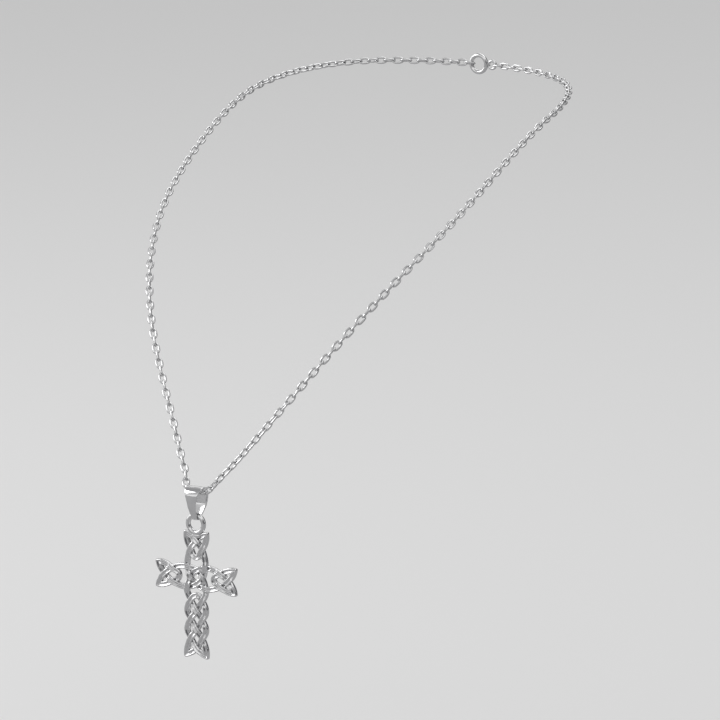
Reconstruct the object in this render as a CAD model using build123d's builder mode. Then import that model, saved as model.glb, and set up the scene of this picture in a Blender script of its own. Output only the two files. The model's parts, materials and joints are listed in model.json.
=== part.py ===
from build123d import *
import os
from math import cos, pi, radians, sin, tan

# A silver necklace: a fine cable chain, a clasp at the nape, a folded bail and a pierced knotwork
# cross with its soldered ring. Origin: middle of the clasp, on the nape of the neck.
# +Z is up, the wearer's front is -Y, and the pendant hangs in the plane X = 0.

# Where the pendant hangs
pendant_reach = 150.0
pendant_drop = 96.0

# Chain, as the round envelope of its links
chain_diameter = 2.1
chain_gap = 0.3
arc_share = 0.45

# Clasp: a closed ring with a small eye for the chain's other end
clasp_outer = 6.0
clasp_wire = 1.2
clasp_eye_outer = 3.0
clasp_eye_wire = 0.8
clasp_solder = 0.15

# Bail: a strap folded over the chain, narrowing to the fold that holds the ring. Seen from the
# front, its front leaf is waisted and its back leaf swells
bail_wall = 0.4
bail_width = 5.0
bail_foot_width = 1.8
bail_length = 5.45
bail_front_waist = 0.4
bail_back_swell = 0.45
bail_lip = 0.6
bail_fold = 2.2
bail_belly = 2.1
bail_belly_drop = 2.2
bail_chain_gap = 0.3
bail_ring_gap = 0.15

# Ring soldered to the top of the cross
ring_outer = 6.15
ring_wire = 1.35
ring_seat = 0.15
ring_lift = 0.15
solder_radius = 0.9
solder_depth = 0.8
solder_drop = 0.2

# Cross: one closed strand, plaited in three equal arms and a longer shaft
strand_width = 1.6
strand_groove = 0.4
groove_depth = 0.22
back_depth = 0.7
low_thickness = 1.05
over_rise = 0.3
column = 1.8
arm_row = 2.5
shaft_row = 2.6
arm_reach = 10.1
shaft_reach = 19.45
centre_reach = 1.9
corner_reach = 2.8
crossing_flat = 1.0
crossing_ramp = 0.6
tip_blunt = 0.55
hump_root = 0.15
hump_inset = 0.02

# Route of the chain from the bail to the clasp on the wearer's left, from the bail's eye;
# the wearer's right mirrors it
chain_side = [
    (2.9, 0.0, 0.0),
    (4.5, 0.8, 1.2),
    (6.3, 3.0, 4.7),
    (10.7, 6.9, 11.1),
    (19.6, 14.8, 24.5),
    (36.3, 33.3, 49.2),
    (45.8, 60.0, 69.2),
    (48.6, 95.0, 88.4),
    (47.0, 117.5, 93.4),
    (36.6, 137.2, 95.6),
    (17.0, 148.4, 96.0),
]

# Sizes that follow
chain_radius = chain_diameter / 2
bail_foot = ring_wire / 2 + bail_ring_gap
ring_radius = (ring_outer - ring_wire) / 2
low_front = back_depth - low_thickness
eye_point = Vector(0, -pendant_reach, -pendant_drop)
fold_centre = eye_point - Vector(0, 0, bail_fold - chain_radius - bail_chain_gap)
foot_centre = fold_centre - Vector(0, 0, bail_length)
ring_centre = foot_centre - Vector(0, 0, ring_radius - ring_lift)
ring_lower = ring_centre.Z - ring_outer / 2
knot_top = arm_reach + strand_width / 2 + column / 2
knot_centre = Vector(0, -pendant_reach, ring_lower + ring_seat - knot_top)
clasp_radius = (clasp_outer - clasp_wire) / 2
clasp_eye_radius = (clasp_eye_outer - clasp_eye_wire) / 2
clasp_eye_at = clasp_outer / 2 + clasp_eye_outer / 2 - clasp_solder


def facing(depth):
    """The pendant's front view: X to the right, Z up, at a depth behind its middle plane."""
    return Plane(
        origin=knot_centre + Vector(0, depth, 0), x_dir=(1, 0, 0), z_dir=(0, -1, 0)
    )


# One arm's tour of the strand, outwards along +Y from the cross's middle: kind, across, along
side_at = arm_reach - 2.2 * arm_row
vee_at = arm_reach - 1.85 * arm_row
crossing_at = arm_reach - arm_row
edge_at = arm_reach - 0.05 * arm_row
top_at = arm_reach + 0.5 * arm_row
tip_at = arm_reach + 0.72 * arm_row
arm_tour = [
    ("turn", -corner_reach, side_at),
    ("cross", -column, crossing_at),
    ("cross", 0, arm_reach),
    ("turn", 0.9 * column, top_at),
    ("tip", 1.7 * column, tip_at),
    ("turn", 1.6 * column, edge_at),
    ("cross", column, crossing_at),
    ("turn", 0, vee_at),
    ("cross", -column, crossing_at),
    ("turn", -1.6 * column, edge_at),
    ("tip", -1.7 * column, tip_at),
    ("turn", -0.9 * column, top_at),
    ("cross", 0, arm_reach),
    ("cross", column, crossing_at),
    ("turn", corner_reach, side_at),
]

# The shaft's tour, downwards, from the wearer's left side to the right: kind, across, rows up
shaft_tour = [
    ("turn", corner_reach, 5.8),
    ("cross", column, 5.0),
    ("cross", 0, 4.0),
    ("cross", -column, 3.0),
    ("turn", -1.62 * column, 2.0),
    ("cross", -column, 1.0),
    ("cross", 0, 0.0),
    ("turn", 0.9 * column, -0.48),
    ("tip", 1.7 * column, -0.69),
    ("turn", 1.6 * column, 0.05),
    ("cross", column, 1.0),
    ("cross", 0, 2.0),
    ("cross", -column, 3.0),
    ("turn", -1.62 * column, 4.0),
    ("cross", -column, 5.0),
    ("turn", 0, 5.6),
    ("cross", column, 5.0),
    ("turn", 1.62 * column, 4.0),
    ("cross", column, 3.0),
    ("cross", 0, 2.0),
    ("cross", -column, 1.0),
    ("turn", -1.6 * column, 0.05),
    ("tip", -1.7 * column, -0.69),
    ("turn", -0.9 * column, -0.48),
    ("cross", 0, 0.0),
    ("cross", column, 1.0),
    ("turn", 1.62 * column, 2.0),
    ("cross", column, 3.0),
    ("cross", 0, 4.0),
    ("cross", -column, 5.0),
    ("turn", -corner_reach, 5.8),
]

# The crossings of the middle block, by compass point
block = {
    "N": (0, centre_reach),
    "E": (centre_reach, 0),
    "S": (0, -centre_reach),
    "W": (-centre_reach, 0),
    "NE": (corner_reach, corner_reach),
    "SE": (corner_reach, -corner_reach),
    "SW": (-corner_reach, -corner_reach),
    "NW": (-corner_reach, corner_reach),
}


def through_block(names):
    """The strand's crossings through the middle block, in order."""
    return [("cross", *block[name]) for name in names.split()]


def turned(tour, angle):
    """An arm's tour turned about the cross's middle, anticlockwise in degrees."""
    c, s = cos(radians(angle)), sin(radians(angle))
    return [(kind, c * x - s * y, s * x + c * y) for kind, x, y in tour]


strand = (
    through_block("SW W N NE")
    + turned(arm_tour, -90)
    + through_block("SE S W NW")
    + arm_tour
    + through_block("NE E S SW")
    + turned(arm_tour, 90)
    + through_block("NW N E SE")
    + [(kind, x, shaft_row * rows - shaft_reach) for kind, x, rows in shaft_tour]
)
count = len(strand)
points = [Vector(x, y) for _, x, y in strand]
kinds = [kind for kind, _, _ in strand]


def heading(i):
    """The strand's direction at a point, along the chord of its two neighbours."""
    return (points[(i + 1) % count] - points[i - 1]).normalized()


def arc_or_line(start, direction, end):
    """An arc from start that leaves along a direction, or a line where the end lies straight on."""
    chord = (end - start).normalized()
    if abs(direction.cross(chord).Z) < 1e-4:
        return Edge.make_line(start, end)
    return Edge.make_tangent_arc(start, direction, end)


def stretch(i):
    """The strand from one point to the next: one arc beside a tip, else two that meet smoothly."""
    start, end = points[i], points[(i + 1) % count]
    if kinds[(i + 1) % count] == "tip":
        return [arc_or_line(start, heading(i), end)]
    if kinds[i] == "tip":
        return [arc_or_line(end, -heading((i + 1) % count), start)]
    leave, arrive = heading(i), heading((i + 1) % count)
    chord = end - start
    along, bend = chord.dot(leave + arrive), 2 * (1 - leave.dot(arrive))
    if bend < 1e-6:
        reach = chord.dot(chord) / (4 * chord.dot(arrive))
    else:
        reach = ((along**2 + 2 * bend * chord.dot(chord) / 2) ** 0.5 - along) / bend
    middle = (start + end + (leave - arrive) * reach) * 0.5
    return [arc_or_line(start, leave, middle), arc_or_line(end, -arrive, middle)]


stretches = [stretch(i) for i in range(count)]


def ribbon(edges, width):
    """Flat ribbons of even width along edges."""
    return [trace(lines=edge, line_width=width, mode=Mode.PRIVATE).face() for edge in edges]


def away_from(edge, point):
    """The direction in which an edge leaves one of its ends."""
    if (edge @ 0 - point).length < (edge @ 1 - point).length:
        return edge % 0
    return -(edge % 1)


def tip(i, width, blunt):
    """The mitred outer corner of the ribbon at a tip, cut blunt."""
    one = away_from(stretches[i - 1][-1], points[i])
    other = away_from(stretches[i][0], points[i])
    outward = -(one + other).normalized()
    half_turn = one.get_angle(other) / 2
    reach = width / 2 / sin(radians(half_turn))
    corners = [points[i]]
    for leg in (one, other):
        normal = Vector(-leg.Y, leg.X)
        if normal.dot(outward) < 0:
            normal = -normal
        corners.append(points[i] + normal * (width / 2))
    across = Vector(-outward.Y, outward.X) * (blunt / 2)
    if across.dot(corners[1] - corners[2]) < 0:
        across = -across
    nose = points[i] + outward * (reach - blunt / 2 / tan(radians(half_turn)))
    outline = [corners[0], corners[1], nose + across, nose - across, corners[2]]
    return Face(Wire.make_polygon(outline, close=True))


def whole_strand(width, blunt):
    """The whole plait's outline from the front, with its pointed tips."""
    faces = []
    for edges in stretches:
        faces += ribbon(edges, width)
    for i in range(count):
        if kinds[i] == "tip":
            faces.append(tip(i, width, blunt))
    return faces


def crossing_ramp_outline():
    """The hump's side view: flat over the strand below, ramped down on both sides into it."""
    foot = crossing_flat + crossing_ramp * (1 + hump_root / over_rise)
    return [
        (-foot, 0),
        (-crossing_flat, over_rise + hump_root),
        (crossing_flat, over_rise + hump_root),
        (foot, 0),
    ]


def crossing_hump(i, width, groove, sink):
    """The hump of the strand that lies on top at a crossing, with or without its groove."""
    root = facing(low_front + sink + hump_root)
    middle = root.from_local_coords(points[i])
    along = root.from_local_coords(points[i] + heading(i)) - middle
    across = along.cross(root.z_dir)
    passing = stretches[i - 1] + stretches[i]
    with BuildPart() as hump:
        with BuildSketch(root):
            add(ribbon(passing, width))
            if groove:
                add(ribbon(passing, groove), mode=Mode.SUBTRACT)
        extrude(amount=over_rise + hump_root)
        with BuildSketch(Plane(origin=middle, x_dir=along, z_dir=across)):
            with BuildLine():
                Polyline(crossing_ramp_outline(), close=True)
            make_face()
        extrude(amount=strand_width, both=True, mode=Mode.INTERSECT)
    return hump.part


crossings = [i for i in range(count) if kinds[i] == "cross"]
humps = []
for i in crossings[0::2]:
    rails = (strand_width - 2 * hump_inset, strand_groove + 2 * hump_inset)
    humps.append(crossing_hump(i, *rails, 0))
    humps.append(crossing_hump(i, strand_groove + 4 * hump_inset, 0, groove_depth))

with BuildPart() as cross:
    with BuildSketch(facing(back_depth)):
        add(whole_strand(strand_width, tip_blunt))
    extrude(amount=low_thickness)
    with BuildSketch(facing(low_front)):
        add(whole_strand(strand_groove, 0))
    extrude(amount=-groove_depth, mode=Mode.SUBTRACT)
    add(humps)
    with Locations(Location(ring_centre, (90, 0, 0))):
        Torus(ring_radius, ring_wire / 2)
    with Locations(Location((0, ring_centre.Y, ring_lower - solder_drop), (90, 0, 0))):
        Cylinder(solder_radius, solder_depth)
cross.part.label = "cross"

# Bail: the strap's side view is wrapped round its fold, its belly and its foot
def bail_loop(wall):
    """The side view's circles, grown by a wall: radius, height."""
    return [
        (bail_fold + wall, fold_centre.Z),
        (bail_belly + wall, fold_centre.Z - bail_belly_drop),
        (bail_foot + wall, foot_centre.Z),
    ]


with BuildPart() as bail_outline:
    top = bail_fold + bail_wall
    bottom = -bail_length - bail_foot - bail_wall
    upper = (bail_width / 2, top - bail_lip)
    lower = (bail_foot_width / 2, bottom + bail_lip)
    for depth, swell in ((top, -bail_front_waist), (-top, bail_back_swell)):
        middle = ((bail_width + bail_foot_width) / 4 + swell, (top + bottom) / 2)
        with BuildSketch(Plane(origin=fold_centre, x_dir=(1, 0, 0), z_dir=(0, -1, 0))):
            with BuildLine():
                ThreePointArc(upper, middle, lower)
                Polyline(lower, (lower[0], bottom), (0, bottom), (0, top), (upper[0], top), upper)
            make_face()
            mirror(about=Plane.YZ)
        extrude(amount=depth)

with BuildPart() as bail:
    with BuildSketch(Plane.YZ):
        for radius, height in bail_loop(bail_wall):
            with Locations((fold_centre.Y, height)):
                Circle(radius)
        make_hull()
    extrude(amount=bail_width / 2, both=True)
    with BuildSketch(Plane.YZ):
        for radius, height in bail_loop(0):
            with Locations((fold_centre.Y, height)):
                Circle(radius)
        make_hull()
    extrude(amount=bail_width / 2, both=True, mode=Mode.SUBTRACT)
    add(bail_outline.part, mode=Mode.INTERSECT)
bail.part.label = "bail"

# Chain: a round envelope along straight runs joined by tangent arcs
left_end = Vector(-clasp_outer / 2 - chain_gap, 0, 0)
right_end = Vector(clasp_eye_at + clasp_eye_outer / 2 + chain_gap, 0, 0)
right_side = [eye_point + Vector(x, y, z) for x, y, z in chain_side]
left_side = [eye_point + Vector(-x, y, z) for x, y, z in reversed(chain_side)]
route_points = [left_end] + left_side + right_side + [right_end]


def arc_radius(before, corner, after):
    """The largest arc that a corner's two runs allow, as arc_share of the shorter run."""
    turn = (corner - before).get_angle(after - corner)
    shorter = min((corner - before).length, (after - corner).length)
    return arc_share * shorter / tan(radians(turn / 2))


radii = [arc_radius(*route_points[i - 1 : i + 2]) for i in range(1, len(route_points) - 1)]
with BuildPart() as chain:
    with BuildLine() as route:
        FilletPolyline(*route_points, radius=radii)
    path = route.wire()
    with BuildSketch(Plane(origin=path @ 0, z_dir=path % 0)):
        Circle(chain_radius)
    sweep(path=path)
chain.part.label = "chain"
print("arc radii", [round(radius, 1) for radius in radii])
chain_length = path.length
print("chain length", round(chain_length, 1))
section = pi * chain_radius**2
print("volume over section times length", round(chain.part.volume / (chain_length * section), 4))
print("ring centre", [round(value, 3) for value in ring_centre])
print("knot centre", [round(value, 3) for value in knot_centre])

# Clasp: the ring lies against the nape, its eye soldered on towards the wearer's left
with BuildPart() as clasp:
    with Locations(Location((0, 0, 0), (90, 0, 0))):
        Torus(clasp_radius, clasp_wire / 2)
    with Locations(Location((clasp_eye_at, 0, 0), (90, 0, 0))):
        Torus(clasp_eye_radius, clasp_eye_wire / 2)
clasp.part.label = "clasp"

os.makedirs("parts", exist_ok=True)
for piece in (chain, clasp, bail, cross):
    export_step(piece.part, f"parts/{piece.part.label}.step")
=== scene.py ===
import json
import random
from math import acos, asin, atan2, ceil, cos, degrees, pi, radians, sin, sqrt

import bpy
import numpy as np
from mathutils import Matrix, Vector


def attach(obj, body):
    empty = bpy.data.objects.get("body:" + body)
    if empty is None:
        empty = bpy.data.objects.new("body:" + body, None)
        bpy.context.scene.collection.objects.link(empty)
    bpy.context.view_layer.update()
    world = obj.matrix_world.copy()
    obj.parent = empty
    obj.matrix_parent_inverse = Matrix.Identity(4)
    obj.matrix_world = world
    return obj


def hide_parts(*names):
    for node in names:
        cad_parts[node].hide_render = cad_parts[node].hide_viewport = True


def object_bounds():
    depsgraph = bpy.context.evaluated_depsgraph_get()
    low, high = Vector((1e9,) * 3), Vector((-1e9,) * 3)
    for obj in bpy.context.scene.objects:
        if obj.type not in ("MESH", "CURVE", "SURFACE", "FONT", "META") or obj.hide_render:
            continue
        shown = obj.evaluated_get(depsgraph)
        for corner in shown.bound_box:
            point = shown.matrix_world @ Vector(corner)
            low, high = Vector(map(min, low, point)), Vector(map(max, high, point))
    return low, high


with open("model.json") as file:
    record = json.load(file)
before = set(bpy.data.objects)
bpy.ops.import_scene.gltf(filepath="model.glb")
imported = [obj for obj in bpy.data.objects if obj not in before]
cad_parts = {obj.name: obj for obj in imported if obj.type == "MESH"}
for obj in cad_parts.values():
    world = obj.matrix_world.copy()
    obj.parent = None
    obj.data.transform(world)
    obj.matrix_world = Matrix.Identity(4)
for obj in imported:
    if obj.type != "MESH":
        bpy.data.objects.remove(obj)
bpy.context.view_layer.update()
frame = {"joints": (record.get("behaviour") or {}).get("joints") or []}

# A silver necklace over a pale floor: a plaited cross with its ring, a folded bail, an oval-link
# chain and its clasp. The pieces are sized in millimetres and made in metres, where the frame has
# them. The view, the stage and the finishes are in metres, and angles are in degrees.
MM = 0.001

# Corners nearer than this are one, in metres
one_corner = 1e-7

# Where the moving pieces hang, from their joints
joint_at = {joint["name"]: Vector(joint["pos_m"]) for joint in frame["joints"]}
eye_point = joint_at["bail_swing"]
ring_centre = joint_at["cross_swing"]

# Cross: one closed strand with two rails, plaited in three equal arms and a longer shaft
knot_drop = 14.725
column = 1.8
arm_row = 2.5
shaft_row = 2.6
arm_reach = 10.1
shaft_reach = 19.45
centre_reach = 1.9
corner_reach = 2.8
low_front = 0.35
over_rise = 0.22
under_dip = 0.16
crest_half = 0.7
crest_ramp = 1.3
back_depth = 0.7
back_recess = 0.16
strand_step = 0.18
strand_fewest_steps = 4
same_spot = 1e-6
tip_rounding = 0.6
tip_faces = 7
cross_sharp = 42.0

# The strand's front from its wall to its middle groove: across, below the crest
rail_profile = [
    (0.80, 0.40),
    (0.79, 0.26),
    (0.735, 0.13),
    (0.64, 0.035),
    (0.53, 0.0),
    (0.42, 0.03),
    (0.325, 0.105),
    (0.245, 0.2),
    (0.165, 0.29),
    (0.08, 0.34),
]
groove_floor = 0.35

# The strand's back edge: across, in front of the back
heel_profile = [(0.64, 0.0), (0.755, 0.05), (0.80, 0.17)]

# Ring and the silver that joins it to the cross
ring_outer = 6.15
ring_wire = 1.35
ring_steps = 72
ring_sides = 24
solder_size = (1.5, 0.45, 0.8)
solder_drop = 0.2
solder_steps = 28
solder_rows = 16

# Bail, whose front leaf is waisted and whose back leaf swells
bail_wall = 0.4
bail_width = 5.0
bail_foot_width = 1.8
bail_length = 5.45
bail_front_waist = 0.4
bail_back_swell = 0.45
bail_lip = 0.6
bail_fold = 2.2
bail_fold_drop = 0.85
bail_belly = 2.1
bail_belly_drop = 2.2
bail_foot = 0.825
bail_dome = 0.1
bail_edge = 0.11
bail_edge_steps = 3
bail_edge_angle = 50.0
bail_sharp = 40.0
strap_bend = 7.0
strap_rows = 6
strap_columns = 10

# Chain of oval links, squarer than an ellipse
link_pitch = 2.355
link_wire = 0.58
link_width = 2.15
link_play = 0.03
link_square = 2.5
link_steps = 16
link_sharp = 60.0
wire_sides = 8
roll_jitter = 4.0
roll_seed = 7
route_steps = 24

# Clasp and its eye, with the gap that the route's straight ends leave beside them
clasp_outer = 6.0
clasp_wire = 1.2
clasp_steps = 72
clasp_eye_outer = 3.0
clasp_eye_wire = 0.8
clasp_eye_steps = 48
clasp_sides = 18
clasp_sharp = 50.0
clasp_solder = 0.15
clasp_eye_at = clasp_outer / 2 + clasp_eye_outer / 2 - clasp_solder
chain_gap = 0.3

# View: the middle of the picture is moved right and up from a point of the necklace
view_azimuth = 31.0
view_elevation = 11.0
view_centre = (0.0, -0.083, -0.062)
view_shift = (0.0093, -0.009)
frame_width = 0.197
camera_lens = 365.0
camera_sensor = 36.0
camera_reach = (0.05, 60.0)

# Stage and light: the floor's own colour and the darker painted shade that the silver's reflections
# show of it, the place that the lights face, and the side on which the silver shows the room brighter
floor_drop = 0.03
floor_half = 12.0
floor_colour = (0.78, 0.78, 0.78)
floor_reflection_shade = (0.38, 0.38, 0.385)
lit_place = (0.0, -0.085, -0.055)
room_colour = (0.9, 0.9, 0.9)
room_strength = 0.72
brighter_side = (-0.5, -0.2, 0.84)

# The room in the silver, from square to the brighter side to straight at it: share, colour
room_bands = [
    (0.0, (0.1, 0.1, 0.105)),
    (0.2, (0.3, 0.3, 0.3)),
    (0.45, (0.95, 0.95, 0.95)),
    (0.65, (0.6, 0.6, 0.6)),
    (0.95, (0.3, 0.3, 0.305)),
]

# Silver's own colour, the painted shade that darkens its recesses, and its hairlines' depth
silver_bright = (0.93, 0.93, 0.935)
silver_painted_shade = (0.1, 0.1, 0.11)
hairline_depth = 0.00003

# Route of the chain from the bail's eye round one side to the clasp; the other side mirrors it
chain_side = [
    (2.6, 0.0, 0.0),
    (3.9, 1.1, 0.9),
    (5.3, 3.8, 3.8),
    (8.7, 6.4, 8.0),
    (12.7, 10.0, 14.0),
    (20.9, 16.5, 26.0),
    (30.3, 25.0, 40.2),
    (39.4, 39.0, 55.3),
    (46.4, 59.6, 70.0),
    (48.6, 95.0, 88.4),
    (47.0, 117.5, 93.4),
    (36.6, 137.2, 95.6),
    (17.0, 148.4, 96.0),
]


def pick_none():
    """Nothing selected and nothing being edited."""
    if bpy.context.object and bpy.context.object.mode != "OBJECT":
        bpy.ops.object.mode_set(mode="OBJECT")
    bpy.ops.object.select_all(action="DESELECT")


def pick(piece):
    """Only this piece selected and active."""
    pick_none()
    piece.select_set(True)
    bpy.context.view_layer.objects.active = piece


def finish_modifiers(piece):
    """Applies the piece's modifiers in their order."""
    pick(piece)
    for modifier in list(piece.modifiers):
        bpy.ops.object.modifier_apply(modifier=modifier.name)


def settle(piece):
    """Puts the piece's place and turn into its mesh."""
    pick(piece)
    bpy.ops.object.transform_apply(location=True, rotation=True, scale=True)


def named(name):
    """The piece just added, under its own name."""
    piece = bpy.context.object
    piece.name = name
    piece.data.name = name
    return piece


def mesh_piece(name, vertices, faces):
    """A piece from its corners in metres and its faces."""
    mesh = bpy.data.meshes.new(name)
    mesh.from_pydata([tuple(v) for v in vertices], [], faces)
    mesh.update()
    piece = bpy.data.objects.new(name, mesh)
    bpy.context.scene.collection.objects.link(piece)
    return piece


def outward(piece):
    """Merges doubles and turns every face outwards."""
    pick(piece)
    bpy.ops.object.mode_set(mode="EDIT")
    bpy.ops.mesh.select_all(action="SELECT")
    bpy.ops.mesh.remove_doubles(threshold=one_corner)
    bpy.ops.mesh.normals_make_consistent(inside=False)
    bpy.ops.object.mode_set(mode="OBJECT")


def smooth(piece, angle):
    """Smooth shading, with the edges sharper than an angle in degrees kept."""
    pick(piece)
    bpy.ops.object.shade_smooth_by_angle(angle=radians(angle))


def fuse(piece, *others):
    """Joins others to the piece as one body, without inner walls."""
    pick(piece)
    for other in others:
        other.select_set(True)
    bpy.ops.object.join()
    union = piece.modifiers.new("fuse", "BOOLEAN")
    union.operation = "UNION"
    union.solver = "EXACT"
    union.use_self = True
    # An empty partner, so that the union works on the piece's own overlaps
    nothing = mesh_piece("nothing", [], [])
    union.object = nothing
    finish_modifiers(piece)
    bpy.data.objects.remove(nothing)


# The knot's path

# One arm's tour of the strand, outwards from the cross's middle: kind, across, along
side_at = arm_reach - 2.2 * arm_row
vee_at = arm_reach - 1.85 * arm_row
crossing_at = arm_reach - arm_row
edge_at = arm_reach - 0.05 * arm_row
top_at = arm_reach + 0.5 * arm_row
tip_at = arm_reach + 0.72 * arm_row
arm_tour = [
    ("turn", -corner_reach, side_at),
    ("cross", -column, crossing_at),
    ("cross", 0, arm_reach),
    ("turn", 0.9 * column, top_at),
    ("tip", 1.7 * column, tip_at),
    ("turn", 1.6 * column, edge_at),
    ("cross", column, crossing_at),
    ("turn", 0, vee_at),
    ("cross", -column, crossing_at),
    ("turn", -1.6 * column, edge_at),
    ("tip", -1.7 * column, tip_at),
    ("turn", -0.9 * column, top_at),
    ("cross", 0, arm_reach),
    ("cross", column, crossing_at),
    ("turn", corner_reach, side_at),
]

# The shaft's tour, down from its +X corner and up again to its -X corner: kind, across, rows up
shaft_tour = [
    ("turn", corner_reach, 5.8),
    ("cross", column, 5.0),
    ("cross", 0, 4.0),
    ("cross", -column, 3.0),
    ("turn", -1.62 * column, 2.0),
    ("cross", -column, 1.0),
    ("cross", 0, 0.0),
    ("turn", 0.9 * column, -0.48),
    ("tip", 1.7 * column, -0.69),
    ("turn", 1.6 * column, 0.05),
    ("cross", column, 1.0),
    ("cross", 0, 2.0),
    ("cross", -column, 3.0),
    ("turn", -1.62 * column, 4.0),
    ("cross", -column, 5.0),
    ("turn", 0, 5.6),
    ("cross", column, 5.0),
    ("turn", 1.62 * column, 4.0),
    ("cross", column, 3.0),
    ("cross", 0, 2.0),
    ("cross", -column, 1.0),
    ("turn", -1.6 * column, 0.05),
    ("tip", -1.7 * column, -0.69),
    ("turn", -0.9 * column, -0.48),
    ("cross", 0, 0.0),
    ("cross", column, 1.0),
    ("turn", 1.62 * column, 2.0),
    ("cross", column, 3.0),
    ("cross", 0, 4.0),
    ("cross", -column, 5.0),
    ("turn", -corner_reach, 5.8),
]

# The crossings of the middle block, by compass point
block = {
    "N": (0, centre_reach),
    "E": (centre_reach, 0),
    "S": (0, -centre_reach),
    "W": (-centre_reach, 0),
    "NE": (corner_reach, corner_reach),
    "SE": (corner_reach, -corner_reach),
    "SW": (-corner_reach, -corner_reach),
    "NW": (-corner_reach, corner_reach),
}


def through_block(names):
    """The strand's crossings through the middle block, in order."""
    return [("cross", *block[name]) for name in names.split()]


def turned(tour, angle):
    """An arm's tour turned about the cross's middle, anticlockwise in degrees."""
    c, s = cos(radians(angle)), sin(radians(angle))
    return [(kind, c * x - s * y, s * x + c * y) for kind, x, y in tour]


strand = (
    through_block("SW W N NE")
    + turned(arm_tour, -90)
    + through_block("SE S W NW")
    + arm_tour
    + through_block("NE E S SW")
    + turned(arm_tour, 90)
    + through_block("NW N E SE")
    + [(kind, x, shaft_row * rows - shaft_reach) for kind, x, rows in shaft_tour]
)
count = len(strand)
kinds = [kind for kind, _, _ in strand]
points = [Vector((x, y)) for _, x, y in strand]


def heading(i):
    """The strand's direction at a point, along the chord of its two neighbours."""
    return (points[(i + 1) % count] - points[(i - 1) % count]).normalized()


def mirrored(direction, axis):
    """A direction mirrored about an axis."""
    return 2 * direction.dot(axis) * axis - direction


def stretch(i):
    """A smooth run from one point to the next, as places and directions."""
    start, end = points[i], points[(i + 1) % count]
    chord = end - start
    along = chord.normalized()
    leave, arrive = heading(i), heading((i + 1) % count)
    if kinds[i] == "tip":
        leave = mirrored(arrive, along)
    if kinds[(i + 1) % count] == "tip":
        arrive = mirrored(leave, along)
    first = chord.length / 3 / cos(leave.angle(along) / 2) ** 2
    second = chord.length / 3 / cos(arrive.angle(along) / 2) ** 2
    a, b, c, d = start, start + leave * first, end - arrive * second, end
    steps = max(strand_fewest_steps, ceil(chord.length / strand_step))
    run = []
    for k in range(steps + 1):
        t = k / steps
        u = 1 - t
        place = a * u**3 + b * 3 * u * u * t + c * 3 * u * t * t + d * t**3
        slope = (b - a) * u * u + (c - b) * 2 * u * t + (d - c) * t * t
        run.append((place, slope.normalized()))
    return run


def ease(share):
    """A smooth step from 0 to 1."""
    share = min(max(share, 0.0), 1.0)
    return share * share * (3 - 2 * share)


def strand_runs():
    """The closed strand cut at its tips: lists of place, direction, lift and dip."""
    first_tip = kinds.index("tip")
    order = [(first_tip + k) % count for k in range(count)]
    crossings = [i for i in range(count) if kinds[i] == "cross"]
    over = set(crossings[0::2])
    under = set(crossings[1::2])
    samples = []
    over_at, under_at, tips_at = [], [], []
    travelled = 0.0
    for i in order:
        if i in over:
            over_at.append(travelled)
        if i in under:
            under_at.append(travelled)
        if kinds[i] == "tip":
            tips_at.append(len(samples))
        for k, (place, direction) in enumerate(stretch(i)):
            if k:
                travelled += (place - samples[-1][0]).length
            samples.append((place, direction, travelled))
    tips_at.append(len(samples))
    runs = []
    for start, stop in zip(tips_at, tips_at[1:]):
        run = []
        for place, direction, at in samples[start:stop]:
            if run and (place - run[-1][0]).length < same_spot:
                continue
            near_over = min(abs(at - other) for other in over_at)
            near_under = min(abs(at - other) for other in under_at)
            lift = ease((crest_half + crest_ramp - near_over) / crest_ramp)
            dip = ease((crest_half + crest_ramp - near_under) / crest_ramp)
            run.append((place, direction, lift, dip))
        runs.append(run)
    return runs


def section(lift, dip):
    """The strand's outline from its middle groove round the left side, the back and the right:
    across, forward."""
    crest = low_front + over_rise * lift - under_dip * dip
    back = -back_depth + back_recess * lift
    left = [(0.0, crest - groove_floor)]
    left += [(across, crest - below) for across, below in reversed(rail_profile)]
    left += [(across, back + above) for across, above in reversed(heel_profile)]
    return left + [(0.0, back)] + [(-across, forward) for across, forward in left[:0:-1]]


knot_centre = ring_centre - Vector((0, 0, knot_drop * MM))


def at_front(place, forward):
    """A point of the cross in metres, from its place in the front view and its height."""
    return knot_centre + Vector((place.x, -forward, place.y)) * MM


def run_rings(run):
    """The strand's outline at every sample of a run: spots in the front view and their heights."""
    rings = []
    for place, direction, lift, dip in run:
        left = Vector((-direction.y, direction.x))
        rings.append([(place + left * across, forward) for across, forward in section(lift, dip)])
    return rings


def skin(rings):
    """Corners and faces of a closed loop lofted through rings."""
    around = len(rings[0])
    vertices = [corner for ring in rings for corner in ring]
    faces = []
    for k in range(len(rings)):
        here, there = k * around, (k + 1) % len(rings) * around
        for j in range(around):
            after = (j + 1) % around
            faces.append((here + j, here + after, there + after, there + j))
    return vertices, faces


def tip_reach(turn, half_fan):
    """How far a rounded point's outline stands out, against the strand's half width."""
    off_axis = abs(half_fan - turn)
    centre = (1 - tip_rounding) / cos(half_fan)
    rounded = atan2(tip_rounding * sin(half_fan), centre + tip_rounding * cos(half_fan))
    if off_axis <= rounded:
        return centre * cos(off_axis) + sqrt(tip_rounding**2 - (centre * sin(off_axis)) ** 2)
    return 1 / cos(half_fan - off_axis)


def passed_mitre(rings, j, place, side, out):
    """The rings whose corner j has passed a tip's middle line, and how far inside it crosses."""
    last = rings[0][j][0] - place
    for k, ring in enumerate(rings):
        spot = ring[j][0] - place
        beyond = spot.dot(side)
        if beyond > 0:
            crossing = spot + (last - spot) * beyond / (beyond - last.dot(side))
            return rings[:k], -crossing.dot(out)
        last = spot
    return rings, 0.0


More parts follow.
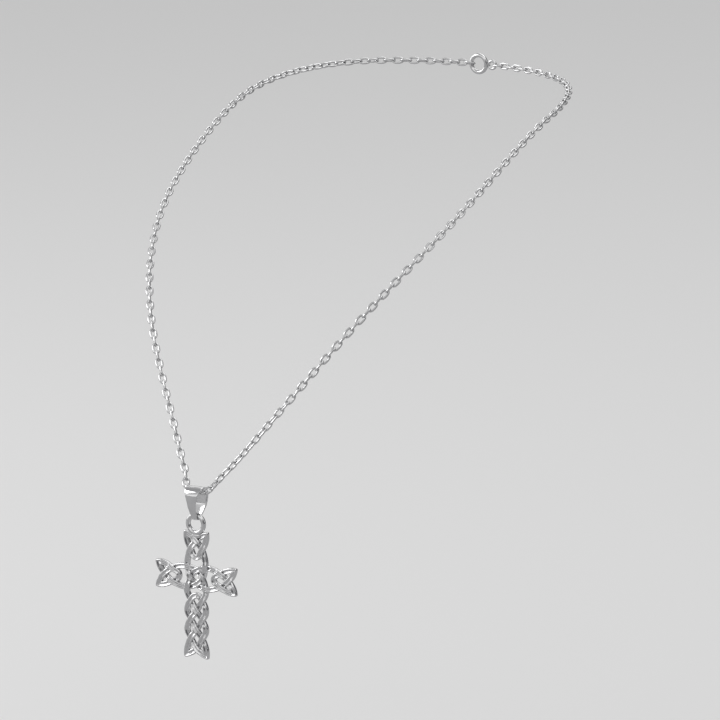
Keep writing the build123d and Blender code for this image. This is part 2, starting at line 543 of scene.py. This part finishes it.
def point_tip(run, rings, next_run, next_rings):
    """Mitres the rails inside a tip and returns the rings that round it outside."""
    place, arrive, lift, dip = run[-1]
    leave = next_run[0][1]
    out = (arrive - leave).normalized()
    sense = 1 if arrive.x * leave.y > arrive.y * leave.x else -1
    side = (out * arrive.dot(out) - arrive).normalized()
    outline = section(lift, dip)
    inner = {j for j, (across, _) in enumerate(outline) if across * sense > 0}
    for j in inner:
        ended, depth = passed_mitre(rings[::-1], j, place, side, out)
        started, next_depth = passed_mitre(next_rings, j, place, -side, out)
        for ring in ended + started:
            ring[j] = (place - out * (depth + next_depth) / 2, outline[j][1])
    first = Vector((arrive.y, -arrive.x)) * sense
    half_fan = first.angle(out)
    fan = []
    for k in range(1, 2 * tip_faces):
        turn = half_fan * k / tip_faces
        c, s = cos(sense * turn), sin(sense * turn)
        spoke = Vector((c * first.x - s * first.y, s * first.x + c * first.y))
        reach = tip_reach(turn, half_fan)
        fan.append([
            rings[-1][j] if j in inner else (place + spoke * abs(across) * reach, forward)
            for j, (across, forward) in enumerate(outline)
        ])
    return fan


def strand_rings():
    """The whole closed strand as rings of corners in metres."""
    runs = strand_runs()
    outlines = [run_rings(run) for run in runs]
    rings = []
    for k, run in enumerate(runs):
        after = (k + 1) % len(runs)
        fan = point_tip(run, outlines[k], runs[after], outlines[after])
        rings.append((outlines[k], fan))
    return [
        [at_front(spot, forward) for spot, forward in ring]
        for outline, fan in rings
        for ring in outline + fan
    ]


def make_cross():
    """The plait with its tips, its ring and the solder, fused into one casting."""
    cross = mesh_piece("woven_cross", *skin(strand_rings()))
    pick_none()
    bpy.ops.mesh.primitive_torus_add(
        location=ring_centre,
        rotation=(pi / 2, 0, 0),
        major_radius=(ring_outer - ring_wire) / 2 * MM,
        minor_radius=ring_wire / 2 * MM,
        major_segments=ring_steps,
        minor_segments=ring_sides,
    )
    ring = named("ring")
    pick_none()
    ring_foot = ring_centre - Vector((0, 0, (ring_outer / 2 + solder_drop) * MM))
    bpy.ops.mesh.primitive_uv_sphere_add(
        segments=solder_steps,
        ring_count=solder_rows,
        location=ring_foot,
        scale=Vector(solder_size) * MM,
    )
    solder = named("solder")
    for part in (cross, ring, solder):
        settle(part)
        outward(part)
    fuse(cross, ring, solder)
    smooth(cross, cross_sharp)
    return cross


def strap_side():
    """The bail's folded strap seen from the side, at the middle of its wall, round its fold, belly
    and foot: back, up."""
    circles = [(bail_fold, 0.0), (bail_belly, -bail_belly_drop), (bail_foot, -bail_length)]
    pairs = zip(circles, circles[1:])
    leans = [asin((lower[0] - upper[0]) / (upper[1] - lower[1])) for upper, lower in pairs]
    stops = [pi / 2] + leans + [-pi / 2]
    front = []
    for (radius, height), start, stop in zip(circles, stops, stops[1:]):
        middle = radius + bail_wall / 2
        steps = max(2, ceil(degrees(start - stop) / strap_bend))
        angles = [start + (stop - start) * k / steps for k in range(steps + 1)]
        arc = [(middle * cos(angle), middle * sin(angle) + height) for angle in angles]
        if front:
            last = front[-1]
            for k in range(1, strap_rows):
                share = k / strap_rows
                front.append(tuple(a + (b - a) * share for a, b in zip(last, arc[0])))
        front += arc
    return front + [(-back, up) for back, up in front[-2:0:-1]]


def strap_half_width(back, up):
    """Half the strap's width at a place of its side outline, from the fold's centre."""
    top = bail_fold + bail_wall - bail_lip
    bottom = -bail_length - bail_foot - bail_wall + bail_lip
    share = min(max((top - up) / (top - bottom), 0.0), 1.0)
    straight = bail_width / 2 + (bail_foot_width - bail_width) / 2 * share
    swell = bail_back_swell if back > 0 else -bail_front_waist
    return straight + swell * 4 * share * (1 - share)


def make_bail():
    """The strap: its side outline drawn as a ring of edges, widened, domed and thickened."""
    outline = strap_side()
    pick_none()
    bpy.ops.mesh.primitive_circle_add(vertices=len(outline), radius=MM)
    bail = named("folded_bail")
    for vertex, (back, up) in zip(bail.data.vertices, outline):
        vertex.co = Vector((-1, back, up))
    bpy.ops.object.mode_set(mode="EDIT")
    bpy.ops.mesh.select_all(action="SELECT")
    step = (2 / strap_columns, 0, 0)
    for _ in range(strap_columns):
        bpy.ops.mesh.extrude_region_move(TRANSFORM_OT_translate={"value": step})
    bpy.ops.object.mode_set(mode="OBJECT")
    fold_centre = eye_point - Vector((0, 0, bail_fold_drop * MM))
    for vertex in bail.data.vertices:
        share, back, up = vertex.co
        near = min(max(-up / bail_length, 0.0), 1.0)
        middle = Vector((0, 0, -near * bail_length))
        away = (Vector((0, back, up)) - middle).normalized()
        dome = bail_dome * (1 - share * share) - bail_dome
        place = Vector((share * strap_half_width(back, up), back, up)) + away * dome
        vertex.co = fold_centre + place * MM
    outward(bail)
    wall = bail.modifiers.new("wall", "SOLIDIFY")
    wall.thickness = bail_wall * MM
    wall.offset = 0
    wall.use_even_offset = True
    edge = bail.modifiers.new("edge", "BEVEL")
    edge.width = bail_edge * MM
    edge.segments = bail_edge_steps
    edge.limit_method = "ANGLE"
    edge.angle_limit = radians(bail_edge_angle)
    finish_modifiers(bail)
    outward(bail)
    smooth(bail, bail_sharp)
    return bail


def route_line():
    """The chain's line in metres, read from a smooth curve that the route's points guide."""
    left_end = Vector((-clasp_outer / 2 - chain_gap, 0, 0)) * MM
    right_end = Vector((clasp_eye_at + clasp_eye_outer / 2 + chain_gap, 0, 0)) * MM
    right = [eye_point + Vector((x, y, z)) * MM for x, y, z in chain_side]
    left = [eye_point + Vector((-x, y, z)) * MM for x, y, z in reversed(chain_side)]
    route = [left_end] + left + right + [right_end]
    curve = bpy.data.curves.new("chain_route", "CURVE")
    curve.dimensions = "3D"
    curve.resolution_u = route_steps
    spline = curve.splines.new("NURBS")
    spline.points.add(len(route) - 1)
    for point, place in zip(spline.points, route):
        point.co = (*place, 1)
    spline.order_u = 3
    spline.use_endpoint_u = True
    guide = bpy.data.objects.new("chain_route", curve)
    bpy.context.scene.collection.objects.link(guide)
    graph = bpy.context.evaluated_depsgraph_get()
    line = bpy.data.meshes.new_from_object(guide.evaluated_get(graph))
    places = [vertex.co.copy() for vertex in line.vertices]
    bpy.data.objects.remove(guide)
    bpy.data.meshes.remove(line)
    first = Vector((-clasp_outer / 2 + clasp_wire, 0, 0)) * MM
    last = Vector((clasp_eye_at + clasp_eye_outer / 2 - clasp_eye_wire, 0, 0)) * MM
    return [first] + places + [last]


def even_stops(line, pitch):
    """Stops along a line, as near to the pitch as a whole number of equal steps allows."""
    lengths = [(b - a).length for a, b in zip(line, line[1:])]
    travelled = np.concatenate([[0.0], np.cumsum(lengths)])
    steps = round(travelled[-1] / pitch)
    wanted = np.linspace(0, travelled[-1], steps + 1)
    places = np.array([tuple(place) for place in line])
    stops = [np.interp(wanted, travelled, places[:, axis]) for axis in range(3)]
    return [Vector(stop) for stop in zip(*stops)]


def direction_to(azimuth, elevation):
    """The direction so many degrees round from the front and up."""
    a, e = radians(azimuth), radians(elevation)
    return Vector((sin(a) * cos(e), -cos(a) * cos(e), sin(e)))


def link_shape():
    """One oval link about the origin, its length along X and flat in XY, in metres."""
    half_length = (link_pitch + link_wire + link_play) / 2
    half_width = (link_width - link_wire) / 2
    power = 2 / link_square
    corners = []
    for k in range(link_steps):
        turn = 2 * pi * k / link_steps
        c, s = cos(turn), sin(turn)
        x = half_length * abs(c) ** power * (1 if c >= 0 else -1)
        y = half_width * abs(s) ** power * (1 if s >= 0 else -1)
        corners.append(Vector((x, y, 0)))
    rings = []
    for k, middle in enumerate(corners):
        along = (corners[(k + 1) % link_steps] - corners[k - 1]).normalized()
        side = Vector((along.y, -along.x, 0))
        ring = []
        for j in range(wire_sides):
            turn = 2 * pi * j / wire_sides
            ring.append((middle + (side * cos(turn) + Vector((0, 0, sin(turn)))) * link_wire / 2) * MM)
        rings.append(ring)
    return skin(rings)


def make_chain():
    """Interlocking oval links along the route, each turned a quarter against the last."""
    line = route_line()
    halfway = min(range(len(line)), key=lambda k: (line[k] - eye_point).length)
    left = even_stops(line[: halfway + 1], link_pitch * MM)
    stops = left + even_stops(line[halfway:], link_pitch * MM)[1:]
    middle, total = len(left) - 1, len(stops) - 1
    corners, faces = link_shape()
    look = direction_to(view_azimuth, view_elevation)
    rng = random.Random(roll_seed)
    flat_at_nape = degrees(acos(sin(radians(view_elevation)) / sqrt(1 - look.x**2)))
    flat_at_end = flat_at_nape - 90 * ((total - 1) % 2)
    # Roll of the links about the line, against the view: link, degrees
    rolls = [
        (0, -flat_at_nape),
        (8, -flat_at_nape),
        (40, 0.0),
        (middle - 2, 0.0),
        (middle + 3, 45.0),
        (middle + 8, 40.0),
        (middle + 18, 0.0),
        (total - 45, 0.0),
        (total - 9, flat_at_end),
        (total - 1, flat_at_end),
    ]
    at, turns = zip(*rolls)
    all_corners, all_faces = [], []
    for k, (start, end) in enumerate(zip(stops, stops[1:])):
        along = (end - start).normalized()
        flat = (look - along * look.dot(along)).normalized()
        roll = np.interp(k, at, turns) + 90 * (k % 2) + rng.uniform(-roll_jitter, roll_jitter)
        flat = Matrix.Rotation(radians(roll), 3, along) @ flat
        side = flat.cross(along)
        place = Matrix((along, side, flat)).transposed()
        centre = (start + end) / 2
        base = len(all_corners)
        all_corners += [centre + place @ corner for corner in corners]
        all_faces += [tuple(base + j for j in face) for face in faces]
    chain = mesh_piece("cable_chain", all_corners, all_faces)
    outward(chain)
    smooth(chain, link_sharp)
    return chain


def make_clasp():
    """The closed ring at the nape with its soldered eye."""
    rings = []
    for name, at, outer, wire, steps in (
        ("plain_clasp", 0, clasp_outer, clasp_wire, clasp_steps),
        ("clasp_eye", clasp_eye_at, clasp_eye_outer, clasp_eye_wire, clasp_eye_steps),
    ):
        pick_none()
        bpy.ops.mesh.primitive_torus_add(
            location=(at * MM, 0, 0),
            rotation=(pi / 2, 0, 0),
            major_radius=(outer - wire) / 2 * MM,
            minor_radius=wire / 2 * MM,
            major_segments=steps,
            minor_segments=clasp_sides,
        )
        rings.append(named(name))
    for ring in rings:
        settle(ring)
    fuse(*rings)
    smooth(rings[0], clasp_sharp)
    return rings[0]


# Finishes


def remap(nodes, before, after):
    """A node that turns one range of values into another."""
    node = nodes.new("ShaderNodeMapRange")
    node.inputs["From Min"].default_value, node.inputs["From Max"].default_value = before
    node.inputs["To Min"].default_value, node.inputs["To Max"].default_value = after
    return node


def maths(nodes, operation):
    """A node that does one sum."""
    node = nodes.new("ShaderNodeMath")
    node.operation = operation
    return node


def socket(group, name, kind, way, value=None):
    """A named input or output of a node group."""
    made = group.interface.new_socket(name=name, in_out=way, socket_type=kind)
    if value is not None:
        made.default_value = value
    return made


def silver_skin():
    """Faint clouding, hairlines from polishing and a painted shade that darkens the recesses, for
    every silver piece.
    """
    group = bpy.data.node_groups.new("silver_skin", "ShaderNodeTree")
    socket(group, "Bright", "NodeSocketColor", "INPUT", (0.9, 0.9, 0.9, 1))
    socket(group, "Painted Shade", "NodeSocketColor", "INPUT", (0.2, 0.2, 0.21, 1))
    socket(group, "Openness", "NodeSocketFloat", "INPUT", 1.0)
    socket(group, "Recess Shade Strength", "NodeSocketFloat", "INPUT", 0.8)
    socket(group, "Gloss", "NodeSocketFloat", "INPUT", 0.12)
    socket(group, "Hairline Size", "NodeSocketFloat", "INPUT", 4000.0)
    socket(group, "Color", "NodeSocketColor", "OUTPUT")
    socket(group, "Roughness", "NodeSocketFloat", "OUTPUT")
    socket(group, "Height", "NodeSocketFloat", "OUTPUT")
    nodes, links = group.nodes, group.links
    inside = nodes.new("NodeGroupInput")
    result = nodes.new("NodeGroupOutput")
    coordinates = nodes.new("ShaderNodeTexCoord")

    # Painted shade: the colour darkens where ambient occlusion finds a recess
    recess = remap(nodes, (0.15, 0.8), (1.0, 0.0))
    links.new(inside.outputs["Openness"], recess.inputs["Value"])
    painted_recess_shade = maths(nodes, "MULTIPLY")
    links.new(recess.outputs["Result"], painted_recess_shade.inputs[0])
    links.new(inside.outputs["Recess Shade Strength"], painted_recess_shade.inputs[1])

    cloud = nodes.new("ShaderNodeTexNoise")
    cloud.inputs["Scale"].default_value = 420.0
    cloud.inputs["Detail"].default_value = 3.0
    links.new(coordinates.outputs["Object"], cloud.inputs["Vector"])
    cloud_share = remap(nodes, (0.35, 0.75), (0.0, 0.1))
    links.new(cloud.outputs["Fac"], cloud_share.inputs["Value"])
    # Faint clouding added to the painted recess shade
    shade = maths(nodes, "ADD")
    shade.use_clamp = True
    links.new(painted_recess_shade.outputs["Value"], shade.inputs[0])
    links.new(cloud_share.outputs["Result"], shade.inputs[1])
    colour = nodes.new("ShaderNodeMix")
    colour.data_type = "RGBA"
    links.new(shade.outputs["Value"], colour.inputs["Factor"])
    links.new(inside.outputs["Bright"], colour.inputs["A"])
    links.new(inside.outputs["Painted Shade"], colour.inputs["B"])
    links.new(colour.outputs["Result"], result.inputs["Color"])

    stretch_lines = nodes.new("ShaderNodeMapping")
    stretch_lines.inputs["Rotation"].default_value = (0.3, 0.5, 0.4)
    stretch_lines.inputs["Scale"].default_value = (1.0, 1.0, 0.12)
    links.new(coordinates.outputs["Object"], stretch_lines.inputs["Vector"])
    hairline = nodes.new("ShaderNodeTexNoise")
    hairline.inputs["Detail"].default_value = 2.0
    links.new(stretch_lines.outputs["Vector"], hairline.inputs["Vector"])
    links.new(inside.outputs["Hairline Size"], hairline.inputs["Scale"])
    links.new(hairline.outputs["Fac"], result.inputs["Height"])
    uneven = remap(nodes, (0.3, 0.7), (-0.04, 0.06))
    links.new(hairline.outputs["Fac"], uneven.inputs["Value"])
    rough = maths(nodes, "ADD")
    links.new(inside.outputs["Gloss"], rough.inputs[0])
    links.new(uneven.outputs["Result"], rough.inputs[1])
    recess_rough = maths(nodes, "MULTIPLY_ADD")
    recess_rough.inputs[1].default_value = 0.25
    links.new(painted_recess_shade.outputs["Value"], recess_rough.inputs[0])
    links.new(rough.outputs["Value"], recess_rough.inputs[2])
    links.new(recess_rough.outputs["Value"], result.inputs["Roughness"])
    return group


def silver(name, skin_group, gloss, recess_width, recess_shade_strength, hairline, bump):
    """A silver finish with its own gloss and hairline sizes, and its own reach and depth of the
    painted shade in its recesses.
    """
    material = bpy.data.materials.new(name)
    material.use_nodes = True
    nodes, links = material.node_tree.nodes, material.node_tree.links
    shader = nodes["Principled BSDF"]
    shader.inputs["Metallic"].default_value = 1.0
    skin_node = nodes.new("ShaderNodeGroup")
    skin_node.node_tree = skin_group
    skin_node.inputs["Bright"].default_value = (*silver_bright, 1)
    skin_node.inputs["Painted Shade"].default_value = (*silver_painted_shade, 1)
    # Ambient occlusion drives the painted shade that darkens the recesses
    hollow = nodes.new("ShaderNodeAmbientOcclusion")
    hollow.samples = 12
    hollow.inputs["Distance"].default_value = recess_width
    links.new(hollow.outputs["AO"], skin_node.inputs["Openness"])
    skin_node.inputs["Recess Shade Strength"].default_value = recess_shade_strength
    skin_node.inputs["Gloss"].default_value = gloss
    skin_node.inputs["Hairline Size"].default_value = hairline
    relief = nodes.new("ShaderNodeBump")
    relief.inputs["Strength"].default_value = bump
    relief.inputs["Distance"].default_value = hairline_depth
    links.new(skin_node.outputs["Height"], relief.inputs["Height"])
    links.new(relief.outputs["Normal"], shader.inputs["Normal"])
    links.new(skin_node.outputs["Color"], shader.inputs["Base Color"])
    links.new(skin_node.outputs["Roughness"], shader.inputs["Roughness"])
    return material


def floor_paint_with_reflection_shade():
    """Matt pale paint, with a darker painted shade that only the polished metal's reflections show."""
    material = bpy.data.materials.new("floor_paint_with_reflection_shade")
    material.use_nodes = True
    nodes, links = material.node_tree.nodes, material.node_tree.links
    shader = nodes["Principled BSDF"]
    shader.inputs["Roughness"].default_value = 0.8
    shader.inputs["Specular IOR Level"].default_value = 0.1
    # Glossy rays see the floor in a darker painted shade than its own colour
    ray = nodes.new("ShaderNodeLightPath")
    colour = nodes.new("ShaderNodeMix")
    colour.data_type = "RGBA"
    colour.inputs["A"].default_value = (*floor_colour, 1)
    colour.inputs["B"].default_value = (*floor_reflection_shade, 1)
    links.new(ray.outputs["Is Glossy Ray"], colour.inputs["Factor"])
    links.new(colour.outputs["Result"], shader.inputs["Base Color"])
    return material


def clothe(piece, material, body, node):
    """Gives a piece its finish and its body, and hides the imported part that it stands for."""
    piece.data.materials.clear()
    piece.data.materials.append(material)
    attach(piece, body)
    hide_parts(node)


skin_group = silver_skin()
# Each silver finish sets how far and how deep its painted recess shade goes
cast_silver = silver(
    "cast_silver",
    skin_group,
    gloss=0.13,
    recess_width=0.0006,
    recess_shade_strength=0.75,
    hairline=3800.0,
    bump=0.12,
)
strap_silver = silver(
    "strap_silver",
    skin_group,
    gloss=0.1,
    recess_width=0.0008,
    recess_shade_strength=0.4,
    hairline=3000.0,
    bump=0.1,
)
wire_silver = silver(
    "wire_silver",
    skin_group,
    gloss=0.14,
    recess_width=0.0005,
    recess_shade_strength=0.6,
    hairline=5000.0,
    bump=0.1,
)

clothe(make_cross(), cast_silver, "cross_body", "cross")
clothe(make_bail(), strap_silver, "bail_body", "bail")
clothe(make_chain(), wire_silver, "root", "chain")
clothe(make_clasp(), wire_silver, "root", "clasp")

# Stage, light and camera


def make_floor():
    """A wide pale floor below the hanging cross."""
    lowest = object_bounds()[0]
    pick_none()
    bpy.ops.mesh.primitive_plane_add(size=2 * floor_half, location=(0, 0, lowest.z - floor_drop))
    floor = named("floor")
    floor.data.materials.append(floor_paint_with_reflection_shade())


def light(name, azimuth, elevation, distance, size, power):
    """A soft rectangular light that faces the pendant."""
    lamp = bpy.data.lights.new(name, "AREA")
    lamp.shape = "RECTANGLE"
    lamp.size, lamp.size_y = size
    lamp.energy = power
    holder = bpy.data.objects.new(name, lamp)
    back = direction_to(azimuth, elevation)
    holder.location = Vector(lit_place) + back * distance
    holder.rotation_euler = back.to_track_quat("Z", "Y").to_euler()
    bpy.context.scene.collection.objects.link(holder)


def light_room():
    """An evenly pale room, which the silver shows in bands of brightness."""
    world = bpy.data.worlds.new("studio")
    bpy.context.scene.world = world
    world.use_nodes = True
    nodes, links = world.node_tree.nodes, world.node_tree.links
    room = nodes["Background"]
    room.inputs["Color"].default_value = (*room_colour, 1)
    room.inputs["Strength"].default_value = room_strength
    direction = nodes.new("ShaderNodeTexCoord")
    facing = nodes.new("ShaderNodeVectorMath")
    facing.operation = "DOT_PRODUCT"
    facing.inputs[1].default_value = brighter_side
    links.new(direction.outputs["Generated"], facing.inputs[0])
    bands = nodes.new("ShaderNodeValToRGB")
    links.new(facing.outputs["Value"], bands.inputs["Fac"])
    stops = bands.color_ramp.elements
    for stop, (share, colour) in zip(stops, (room_bands[0], room_bands[-1])):
        stop.position = share
        stop.color = (*colour, 1)
    for share, colour in room_bands[1:-1]:
        stops.new(share).color = (*colour, 1)
    reflected = nodes.new("ShaderNodeBackground")
    reflected.inputs["Strength"].default_value = 1.0
    links.new(bands.outputs["Color"], reflected.inputs["Color"])
    ray = nodes.new("ShaderNodeLightPath")
    choice = nodes.new("ShaderNodeMixShader")
    links.new(ray.outputs["Is Glossy Ray"], choice.inputs["Fac"])
    links.new(room.outputs["Background"], choice.inputs[1])
    links.new(reflected.outputs["Background"], choice.inputs[2])
    links.new(choice.outputs["Shader"], nodes["World Output"].inputs["Surface"])


def place_camera():
    """A long lens at the view's angle, which frames the whole necklace."""
    look = direction_to(view_azimuth, view_elevation)
    right = Vector((cos(radians(view_azimuth)), sin(radians(view_azimuth)), 0))
    above = look.cross(right)
    lens = bpy.data.cameras.new("camera")
    lens.lens = camera_lens
    lens.sensor_width = camera_sensor
    lens.clip_start, lens.clip_end = camera_reach
    camera = bpy.data.objects.new("camera", lens)
    bpy.context.scene.collection.objects.link(camera)
    aim = Vector(view_centre) + right * view_shift[0] + above * view_shift[1]
    camera.location = aim + look * (frame_width * camera_lens / camera_sensor)
    camera.rotation_mode = "QUATERNION"
    camera.rotation_quaternion = look.to_track_quat("Z", "Y")
    bpy.context.scene.camera = camera


make_floor()
# Name, degrees round from the front, degrees up, metres away, width and height, watts
light("key_light", -58, 30, 1.1, (0.7, 0.5), 3.4)
light("fill_light", 95, 28, 1.2, (0.5, 0.9), 1.0)
light("top_light", 180, 65, 1.2, (0.9, 0.6), 1.6)
light("low_left_light", -80, 16, 1.2, (0.3, 0.6), 0.8)
light_room()
place_camera()
bpy.context.scene.view_settings.view_transform = "Standard"
